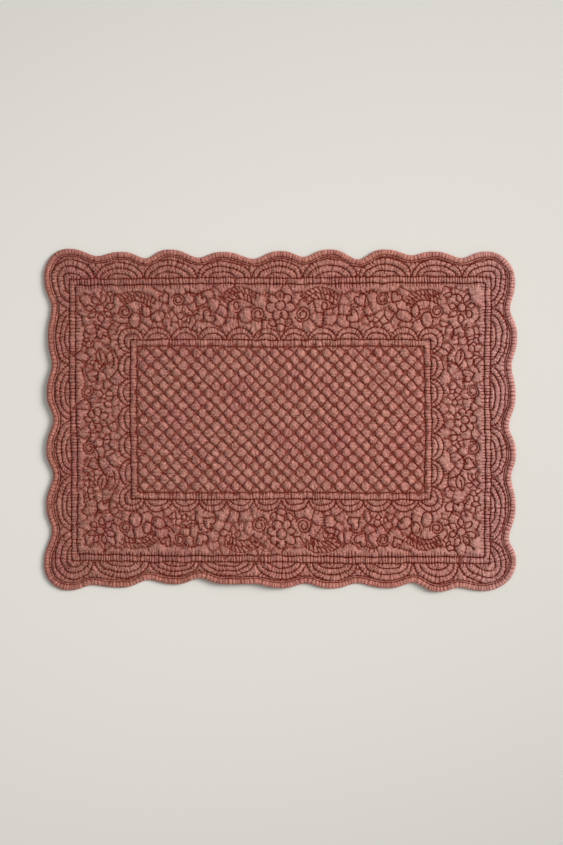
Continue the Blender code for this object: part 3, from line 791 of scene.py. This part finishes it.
def pebble_seeds(stitched):
    """Middles of the ground's puffs: tried at random clear of the stitches, then pushed evenly apart."""
    span = np.array(BORDER_FRAME) - 1.5
    tries = dice.uniform(-1, 1, (24000, 2)) * span
    tries = tries[beyond(CENTRE_FRAME, *tries.T, margin=1)]
    sizes = np.array([pebble_size(x, y) for x, y in tries.tolist()])
    clear = nearest(stitched, *tries.T)[1]
    tries, sizes = tries[clear > 0.26 * sizes], sizes[clear > 0.26 * sizes]
    kept = []
    for index, (place, size) in enumerate(zip(tries, sizes)):
        apart = np.hypot(*(tries[kept] - place).T) if kept else np.ones(0)
        if (apart > 0.44 * (sizes[kept] + size)).all():
            kept.append(index)
    places, sizes = tries[kept], sizes[kept]
    for turn in range(8):
        gap = places[:, None] - places[None]
        apart = np.hypot(gap[..., 0], gap[..., 1]) + np.eye(len(places)) * 1000
        wanted = 0.5 * (sizes[:, None] + sizes[None])
        push = np.clip(1 - apart / wanted, 0, 1) * wanted / apart
        places = places + 0.35 * (push[..., None] * gap).sum(axis=1)
        for index, (x, y) in enumerate(places.tolist()):
            beside, which, near = stitched.find((x, y, 0.0))
            short = 0.32 * sizes[index] - near
            if short > 0 and near > 0:
                places[index] += (np.array([x, y]) - beside[:2]) / near * short
    return [Vector(place) for place in places.tolist()]


def sew_ground():
    """Puckers between the puffs of the ground. They run midway between neighbouring middles."""
    stitched = tree_of(np.concatenate(stitching.samples))
    seeds = pebble_seeds(stitched)
    faces = geometry.delaunay_2d_cdt(seeds, [], [], 0, 0.01)[2]
    centres = {}
    sides = {}
    for number, face in enumerate(faces):
        a, b, c = (seeds[index] for index in face)
        turn = 2 * ((b - a).x * (c - a).y - (b - a).y * (c - a).x)
        if abs(turn) < 0.5:
            continue
        square_b, square_c = (b - a).length_squared, (c - a).length_squared
        centres[number] = (
            a.x + ((c - a).y * square_b - (b - a).y * square_c) / turn,
            a.y + ((b - a).x * square_c - (c - a).x * square_b) / turn,
        )
        for first, second in zip(face, face[1:] + face[:1]):
            sides.setdefault((min(first, second), max(first, second)), []).append(number)
    knots = set()
    for pair in sides.values():
        if len(pair) < 2 or pair[0] not in centres or pair[1] not in centres:
            continue
        start, end = centres[pair[0]], centres[pair[1]]
        middle = ((start[0] + end[0]) / 2, (start[1] + end[1]) / 2)
        length = math.hypot(end[0] - start[0], end[1] - start[1])
        aside, up = abs(middle[0]), abs(middle[1])
        bare = all(
            math.hypot(aside - motif.x, up - motif.y) > KINDS[motif.kind].bare * motif.size
            for motif in MOTIFS)
        ground = beyond(CENTRE_FRAME, *middle, margin=14) and not beyond(BORDER_FRAME, *middle, margin=-1)
        if bare and ground and 0.8 < length < 20 and stitched.find((*middle, 0.0))[2] > 1.3:
            path = bowed(*start, *end, dice.uniform(-0.12, 0.12) * length, steps=4)
            fine = pebble_size(*middle) < 5
            stitching.line(
                path, pitch=3.3, pucker=0.0 if fine else 0.5,
                slack=0.0 if fine else dice.uniform(0.0, 0.65), thread=False)
            if not fine:
                knots.update(pair)
    for number in sorted(knots):
        stitching.ties.append((*centres[number], dice.uniform(1.3, 2.4)))


sew_channel(OUTER_FRAME, BORDER_FRAME, 0.75)
sew_scallops()
sew_motifs()
sew_ground()
border_columns = grid_places((CENTRE_FRAME[0], 185), (BORDER_FRAME[0], 66))
border_rows = grid_places((CENTRE_FRAME[1], 98), (BORDER_FRAME[1], 68))
border_cloth = quilted_cloth(
    "flower_border_cloth", border_columns, border_rows, lambda x, y: beyond(CENTRE_FRAME, x, y))
border_cloth.data.materials.append(cloth_finish)
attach(border_cloth, "root")
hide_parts("quilted_panel")

# ---- Fans along the edge of the top cloth -----------------------------------------------------------
# The rest of the same cloth. In every scallop of the edge three stitched arcs stand on the outer
# channel as a fan, and at each corner they run round it. Its raw edge is sewn inside the binding.
SEAM_INSET = 7.9          # from the mat's edge to where the cloth goes under the binding
HEM_INSET = 3.4           # and to the cloth's own edge
FAN_ARCS = ((0.49, 0.28), (0.77, 0.57), (0.98, 0.86))
CREST_BREADTH = 1.3       # over 1 makes the crests broader than the dips between them

# Each side runs clockwise, from one corner's bulge to the next, with a dip and a crest in turn between
# them. A turn is (along, out): the distance along the side from its middle, and out from the mat's centre.
Side = namedtuple("Side", "along_axis out_axis turns")
SIDES = (
    Side((1, 0), (0, 1), (
        (-224.7, 180.2), (-193.4, 172.5), (-168.5, 176.9), (-142.4, 170.2), (-118.4, 179.4),
        (-86.3, 170.9), (-62.0, 176.9), (-28.5, 169.6), (-0.4, 177.8), (24.1, 171.6),
        (51.0, 179.4), (81.8, 169.0), (108.8, 179.4), (138.2, 173.3), (161.0, 177.3),
        (190.5, 170.5), (217.3, 177.3),
    )),
    Side((0, -1), (1, 0), (
        (-145.8, 247.1), (-116.8, 241.8), (-88.1, 249.2), (-55.7, 243.4), (-25.8, 247.5),
        (6.9, 240.5), (35.3, 247.9), (61.1, 242.7), (91.6, 247.5), (125.3, 240.5),
        (149.5, 248.2),
    )),
    Side((-1, 0), (0, -1), (
        (-214.2, 180.9), (-187.4, 177.3), (-166.0, 181.6), (-139.3, 172.1), (-113.0, 177.8),
        (-80.2, 172.7), (-53.5, 178.2), (-25.6, 172.9), (-1.0, 177.8), (28.5, 173.3),
        (56.5, 173.8), (86.3, 167.6), (111.0, 173.8), (139.3, 169.3), (168.8, 177.3),
        (198.3, 174.6), (224.1, 180.2),
    )),
    Side((0, 1), (-1, 0), (
        (-153.5, 249.9), (-117.2, 241.8), (-91.0, 247.5), (-58.6, 240.2), (-32.8, 247.5),
        (0.5, 240.2), (27.4, 247.1), (58.1, 241.8), (87.0, 245.8), (117.6, 242.2),
        (149.9, 249.9),
    )),
)


def side_point(side, along, out):
    return (
        side.along_axis[0] * along + side.out_axis[0] * out,
        side.along_axis[1] * along + side.out_axis[1] * out,
    )


def edge_curve(steps=60):
    """The mat's edge, clockwise: eased waves along the sides, quarter ellipses at the corners."""
    points = []
    for side, following in zip(SIDES, SIDES[1:] + SIDES[:1]):
        for (start, start_out), (end, end_out) in zip(side.turns, side.turns[1:]):
            high, low = max(start_out, end_out), min(start_out, end_out)
            for step in range(steps):
                share = step / steps
                from_crest = share if end_out < start_out else 1 - share
                fall = 0.5 - 0.5 * math.cos(math.pi * from_crest ** CREST_BREADTH)
                points.append(side_point(side, start + (end - start) * share, high + (low - high) * fall))
        here = np.array(side_point(side, *side.turns[-1]))
        there = np.array(side_point(following, *following.turns[0]))
        axis = np.array(side.along_axis)
        across = axis * (there - here).dot(axis)
        down = there - here - across
        for step in range(steps):
            angle = math.pi / 2 * step / steps
            points.append(tuple(here + across * math.sin(angle) + down * (1 - math.cos(angle))))
    return np.array(points)


EDGE = edge_curve()
CLOSED_EDGE = np.concatenate([EDGE, EDGE[:1]])
ALONG_EDGE = lengths_along(CLOSED_EDGE)
EDGE_LENGTH = ALONG_EDGE[-1]


def on_edge(places):
    """Points at those distances along the edge, and the direction into the mat there."""
    at, after, before = (
        point_at(np.mod(where, EDGE_LENGTH), ALONG_EDGE, CLOSED_EDGE)
        for where in (places, places + 1.5, places - 1.5))
    run = after - before
    run /= np.hypot(*run.T)[:, None]
    return at, np.stack([run[:, 1], -run[:, 0]], axis=1)


edge_points, edge_inwards = on_edge(np.arange(0, EDGE_LENGTH, 0.3))
edge_tree = tree_of(edge_points)


def from_edge(x, y):
    """How far inside the mat's edge each point lies. Outside it is negative."""
    index = nearest(edge_tree, x.ravel(), y.ravel())[0]
    offset = np.stack([x.ravel(), y.ravel()], axis=1) - edge_points[index]
    return (offset * edge_inwards[index]).sum(axis=1).reshape(x.shape)


def hem_rise(inset):
    """Towards the seam the cloth rises to the height of the binding's lower fold."""
    share = np.clip((20.0 - inset) / (20.0 - SEAM_INSET), 0, 1)
    return 0.75 * share * share * (3 - 2 * share)


def unlaid(x, y):
    """The point of the flat pattern that lies at a place of the washed mat."""
    flat_x, flat_y = x, y
    for turn in range(4):
        there_x, there_y = laid(flat_x, flat_y)
        flat_x, flat_y = flat_x + x - there_x, flat_y + y - there_y
    return flat_x, flat_y


def sew_fans():
    for side in SIDES:
        base = OUTER_FRAME[1] if side.out_axis[0] == 0 else OUTER_FRAME[0]
        dips, crests = side.turns[1:-1:2], side.turns[2:-1:2]
        for (before, _), (crest, crest_out), (after, _) in zip(dips, crests, dips[1:]):

            def place(along, out):
                return side_point(side, crest + along, base + out)

            rise = crest_out - SEAM_INSET - base
            sew_arcs(place, crest - before, after - crest, rise, FAN_ARCS, 3.9)
    for corner, sign_x, sign_y in ((3, -1, 1), (0, 1, 1), (2, -1, -1), (1, 1, -1)):
        before, after = SIDES[corner].turns, SIDES[(corner + 1) % 4].turns
        ends = [(before[-1], before[-2]), (after[0], after[1])]
        (bulge_y, dip_x), (bulge_x, dip_y) = ends if corner in (0, 2) else ends[::-1]
        reach = (bulge_x[1] - SEAM_INSET - OUTER_FRAME[0], bulge_y[1] - SEAM_INSET - OUTER_FRAME[1])
        foot = (OUTER_FRAME[0] - abs(dip_x[0]), OUTER_FRAME[1] - abs(dip_y[0]))
        sew_corner(OUTER_FRAME, (sign_x, sign_y), reach, foot, FAN_ARCS, 3.4)


sew_fans()
seam_places = np.arange(0, EDGE_LENGTH, 1.0)
seam_on_edge, seam_inwards = on_edge(seam_places)
seam_x, seam_y = unlaid(*(seam_on_edge + seam_inwards * SEAM_INSET).T)
seam_family = stitching.gathers(0, EDGE_LENGTH, 3.4, reach=(2.0, 5.0))
stitching.sew(
    list(zip(seam_x, seam_y)) + [(seam_x[0], seam_y[0])], seam_family,
    gather=np.append(seam_places, EDGE_LENGTH), thread=False)


def in_fans(x, y):
    outside = beyond(BORDER_FRAME, x, y)
    real_x, real_y = laid(x[outside], y[outside])
    outside[outside] = from_edge(real_x, real_y) > HEM_INSET
    return outside


def under_binding(x, y, puff, marks):
    """Raises the cloth to the seam, and lays it flat inside the binding."""
    inset = from_edge(x, y)
    bare = np.clip((inset - SEAM_INSET + 0.4) / 0.4, 0, 1)
    height = stitched_height(x, y) + hem_rise(inset) + puff * bare - 0.1 * (1 - bare)
    # Near the seam the painted shade of the grooves and lines is lighter.
    shade_kept = np.clip(0.72 + (inset - SEAM_INSET) / 6, 0.72, 1)
    return height, {**marks, "groove": marks["groove"] * shade_kept, "line": marks["line"] * shade_kept}


fan_columns = grid_places((BORDER_FRAME[0], 304), (OUTER_FRAME[0], 9), (249.0, 39))
fan_rows = grid_places((BORDER_FRAME[1], 202), (OUTER_FRAME[1], 9), (181.3, 45))
fan_cloth = quilted_cloth(
    "fan_edge_cloth", fan_columns, fan_rows, in_fans, shadow=(0.38, 0.53), settle=under_binding)
fan_cloth.data.materials.append(cloth_finish)
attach(fan_cloth, "root")
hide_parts("quilted_panel")

# ---- Backing cloth ----------------------------------------------------------------------------------
# The underside is a second cloth of the same dyed cotton. The stitches draw it up a little along
# every line, and its edge rises into the binding. It lies on the table.
BACKING_STEP = 1.75
BACKING_INSET = 3.6


def backing_sheet():
    """The underside on a coarser grid: its puffs are shallow, because the table presses them flat."""
    x, y = np.meshgrid(np.arange(-247.0, 247.1, BACKING_STEP), np.arange(-180.0, 180.1, BACKING_STEP))
    real_x, real_y = laid(x, y)
    inset = from_edge(real_x, real_y)
    inside = inset > BACKING_INSET
    samples = np.concatenate(stitching.samples)[::3]
    index, distance = nearest(tree_of(samples), x[inside], y[inside])
    gather, turn = creased(samples[index], distance)
    drawn_up = 0.75 * np.exp(-((distance / 1.7) ** 2)) + 0.15 * fold_line(gather, turn)
    edge_share = np.clip((16.0 - inset[inside]) / (16.0 - SEAM_INSET), 0, 1) ** 2
    height = 0.06 + drawn_up * (1 - 0.6 * edge_share) + 0.95 * edge_share
    height += lift_at(real_x[inside], real_y[inside])
    points = np.stack([real_x[inside], real_y[inside], height], axis=1)
    flat = np.stack([x[inside], y[inside]], axis=1)
    # Painted shade beside the underside's stitches, and painted light away from them.
    groove, level = 0.4 * np.exp(-((distance / 1.4) ** 2)), np.clip(distance / 3, 0, 1)
    marks = cloth_marks(groove, level, distance, np.full(len(points), 0.8), 0.7 * gather, turn)
    return grid_cloth("backing_cloth", inside, points, flat, marks, faces_down=True)


backing_cloth = backing_sheet()
backing_cloth.data.materials.append(cloth_finish)
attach(backing_cloth, "root")
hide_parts("quilted_panel")

# ---- Edge binding -----------------------------------------------------------------------------------
# One strip of the same cotton, cut on the bias and folded over the raw edges all round. It is sewn
# through near its inner edge, and washing has gathered it into small puffs across its whole width.
SECTION = (                # inward from the mat's edge and up: over the top, round the edge, underneath
    (7.6, 2.5), (7.2, 3.1), (6.7, 3.0), (6.1, 2.8), (5.4, 3.45), (4.5, 3.95), (3.3, 4.2), (2.2, 4.1),
    (1.2, 3.7), (0.45, 3.0), (0.0, 2.1), (0.2, 1.2), (0.8, 0.45), (1.9, 0.08), (3.6, 0.0), (5.4, 0.0),
    (6.5, 0.1), (6.8, 0.4), (6.3, 0.8), (4.3, 0.9), (2.3, 1.1), (2.1, 1.9), (3.0, 2.35), (5.0, 2.42),
)
OUTER_POINTS = 17          # how many of them lie outside
STATIONS_IN_GATHER = 6
GATHER_DEPTH = 0.65
SECTION_MIDDLE = (4.0, 1.9)     # the gathers draw the section in towards it


def binding_ring():
    """The folded section carried round the edge, drawn in at every gather."""
    toss = np.random.default_rng(23)
    count = int(EDGE_LENGTH / 3.4)
    widths = toss.uniform(0.6, 1.4, count)
    starts = np.concatenate([[0], np.cumsum(widths)]) / widths.sum() * EDGE_LENGTH
    depths = toss.uniform(0.5, 1.0, count + 1)
    depths[-1] = depths[0]
    shares = np.arange(STATIONS_IN_GATHER) / STATIONS_IN_GATHER
    places = (starts[:-1, None] + np.diff(starts)[:, None] * shares).ravel()
    stations = len(places)
    depth = (depths[:-1, None] * (1 - shares) + depths[1:, None] * shares).ravel()
    drawn = depth * (1 - np.abs(np.sin(math.pi * np.tile(shares, count))) ** 0.7)
    slant = np.repeat(toss.uniform(-0.9, 0.9, count + 1)[:-1], STATIONS_IN_GATHER)
    section = np.array(SECTION)
    count_round = len(section)
    inset, above = section.T
    out = section - np.array(SECTION_MIDDLE)
    out /= np.hypot(*out.T)[:, None]
    full = np.zeros(count_round)
    full[3:OUTER_POINTS - 3] = 1
    full[:3] = 0.35
    inward = inset - GATHER_DEPTH * full * out[:, 0] * drawn[:, None]
    inward = inward + 0.25 * uneven(places, 0 * places, 23, 31)[:, None] * np.clip(inset / 3, 0, 1)
    up = above - GATHER_DEPTH * full * out[:, 1] * drawn[:, None]
    up = np.maximum(up + 0.12 * uneven(places, 0 * places, 13, 32)[:, None] * full, 0.0)
    lean = slant[:, None] * np.clip((inset - 1) / 6, 0, 1) * np.where(above > 2, 1, 0)
    edge, inwards = on_edge((places[:, None] + lean).ravel())
    plan = edge + inwards * inward.ravel()[:, None]
    points = np.column_stack([plan, up.ravel() + lift_at(*(edge + inwards).T)])
    a = np.arange(len(points)).reshape(stations, count_round)
    b, d = np.roll(a, -1, axis=1), np.roll(a, -1, axis=0)
    c = np.roll(b, -1, axis=0)
    quads = np.stack([a, b, c, d], axis=-1).reshape(-1, 4)
    triangles = np.concatenate([quads[:, [0, 1, 2]], quads[:, [0, 2, 3]]])
    flat = np.stack([np.repeat(places, count_round), np.tile(lengths_along(section), stations)], axis=1)
    # Painted shade on the binding's lower part, and painted light: its outer rim lighter, its inner half
    # darker.
    marks = cloth_marks(
        groove=np.tile(np.where(above < 1.2, 0.3, 0.0), stations),
        level=np.tile(np.interp(inset, (0.0, 3.0, 6.5), (3.4, 2.2, 0.4)), stations),
        off_line=np.tile(np.where(above > 2, abs(inset - 6.1), 5.0), stations),
        line=np.full(len(points), 0.8),
        gather=0.62 * np.repeat(depth, count_round) * np.tile(full, stations),
        turn=np.repeat(np.tile(2 * math.pi * shares, count), count_round))
    return cloth_object("edge_binding_cloth", points, triangles, flat, marks)


binding_cloth = binding_ring()
BINDING_PUFF = (0.490, 0.215, 0.170, 1.0)     # the fold takes the most wear
binding_cloth.data.materials.append(cotton_finish("binding_cotton", BINDING_PUFF))
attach(binding_cloth, "root")
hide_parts("edge_binding")

# ---- Quilting and seam thread -----------------------------------------------------------------------
# Cotton thread dyed with the mat. Its short stitches run along every line but the puckers between the
# puffs of the ground, and one row holds the binding. Each stitch is a slim bead of eight faces.
STITCH_LENGTH = 2.1
STITCH_GAP = 0.8
THREAD_RADIUS = 0.14
BINDING_SEAM = (6.15, 2.78)     # how far inside the mat's edge its stitches lie, and how high


def stitch_ends(points):
    """Where each stitch along a path starts and ends."""
    along = lengths_along(points)
    middles = np.arange(0.6 * STITCH_LENGTH, along[-1] - 0.4 * STITCH_LENGTH, STITCH_LENGTH + STITCH_GAP)
    return [point_at(middles + shift * STITCH_LENGTH, along, points) for shift in (-0.5, 0.5)]


def sew_thread():
    quilting = [stitch_ends(np.stack(laid(*path), axis=1)) for path in stitching.paths]
    starts, ends = (np.concatenate(found) for found in zip(*quilting))
    middle = (starts + ends) / 2
    ground = stitched_height(*middle.T) + hem_rise(from_edge(*middle.T))
    seam, inwards = on_edge(np.arange(0, EDGE_LENGTH, 0.5))
    seam_starts, seam_ends = stitch_ends(seam + inwards * BINDING_SEAM[0])
    seam_middle = (seam_starts + seam_ends) / 2
    ground = np.concatenate([ground, BINDING_SEAM[1] + lift_at(*seam_middle.T)])
    starts, ends = np.concatenate([starts, seam_starts]), np.concatenate([ends, seam_ends])
    middle, along = (starts + ends) / 2, (ends - starts) / 2
    aside = np.stack([-along[:, 1], along[:, 0]], axis=1)
    aside *= THREAD_RADIUS / np.hypot(*aside.T)[:, None]
    low, mid, high = ground - 0.1, ground + 0.05, ground + 0.16
    corners = (
        (middle - along, low), (middle + along, low), (middle + aside, mid),
        (middle - aside, mid), (middle, high), (middle, low - 0.05))
    points = np.stack([np.column_stack(corner) for corner in corners], axis=1).reshape(-1, 3)
    faces = np.array([
        (0, 3, 4), (3, 1, 4), (1, 2, 4), (2, 0, 4), (3, 0, 5), (1, 3, 5), (2, 1, 5), (0, 2, 5),
    ])
    triangles = (faces[None] + len(corners) * np.arange(len(middle))[:, None, None]).reshape(-1, 3)
    return cloth_object("quilting_thread", points, triangles, points[:, :2], {})


THREAD_DARK = (0.150, 0.042, 0.032, 1.0)
THREAD_PALE = (0.22, 0.07, 0.052, 1.0)
quilting_thread = sew_thread()
thread_finish = Finish("quilting_thread")
thread_place = thread_finish.node("ShaderNodeTexCoord", {}, {}, output=3)
thread_colour = thread_finish.mix(thread_finish.noise(thread_place, 260.0), THREAD_DARK, THREAD_PALE)
thread_finish.fill(thread_finish.shader, {"Base Color": thread_colour, "Roughness": 0.8})
quilting_thread.data.materials.append(thread_finish.material)
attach(quilting_thread, "root")

# ---- Floor, light and camera ------------------------------------------------------------------------
# A plain pale table, a broad soft light from the upper right and weak light from all round. The camera
# looks straight down through a long lens.
bpy.ops.object.select_all(action="DESELECT")
bpy.ops.mesh.primitive_plane_add(size=8.0, location=(0, 0, -0.0001))
floor = bpy.context.object
floor.name = "floor"
floor_finish = Finish("pale_table")
floor_finish.fill(floor_finish.shader, {
    "Base Color": (0.78, 0.773, 0.732, 1.0), "Roughness": 0.9, "Specular IOR Level": 0.1})
floor.data.materials.append(floor_finish.material)

world = bpy.data.worlds.new("studio")
bpy.context.scene.world = world
world.use_nodes = True
world.node_tree.nodes["Background"].inputs["Color"].default_value = (1.0, 0.985, 0.96, 1.0)
world.node_tree.nodes["Background"].inputs["Strength"].default_value = 0.42

LAMP_PLACE = (1.87, 0.58, 1.60)
LAMP_AIM = (-0.36, -0.08, 0.0)
lamp = bpy.data.lights.new("window_light", "AREA")
lamp.shape = "DISK"
lamp.size = 1.6
lamp.energy = 7.3
lamp.spread = math.radians(46.0)
lamp.color = (1.0, 0.985, 0.965)
window = bpy.data.objects.new("window_light", lamp)
bpy.context.scene.collection.objects.link(window)
window.location = LAMP_PLACE
way = np.subtract(LAMP_AIM, LAMP_PLACE)
window.rotation_euler = (
    math.atan2(math.hypot(way[0], way[1]), -way[2]), 0.0, math.atan2(-way[0], way[1]))

PIXEL = 1.055             # mm of the table in one pixel of the photograph
PICTURE_HEIGHT = 845      # in those pixels
CAMERA_HEIGHT = 3.5
lens = bpy.data.cameras.new("camera")
lens.sensor_fit = "VERTICAL"
lens.sensor_height = 36.0
lens.lens = lens.sensor_height * CAMERA_HEIGHT / (PICTURE_HEIGHT * PIXEL * MM)
lens.clip_end = 50.0
camera = bpy.data.objects.new("camera", lens)
bpy.context.scene.collection.objects.link(camera)
camera.location = ((MIDDLE_X + 0.5 * PIXEL) * MM, (MIDDLE_Y - 3.0 * PIXEL) * MM, CAMERA_HEIGHT)
bpy.context.scene.camera = camera
bpy.context.scene.view_settings.view_transform = "Standard"
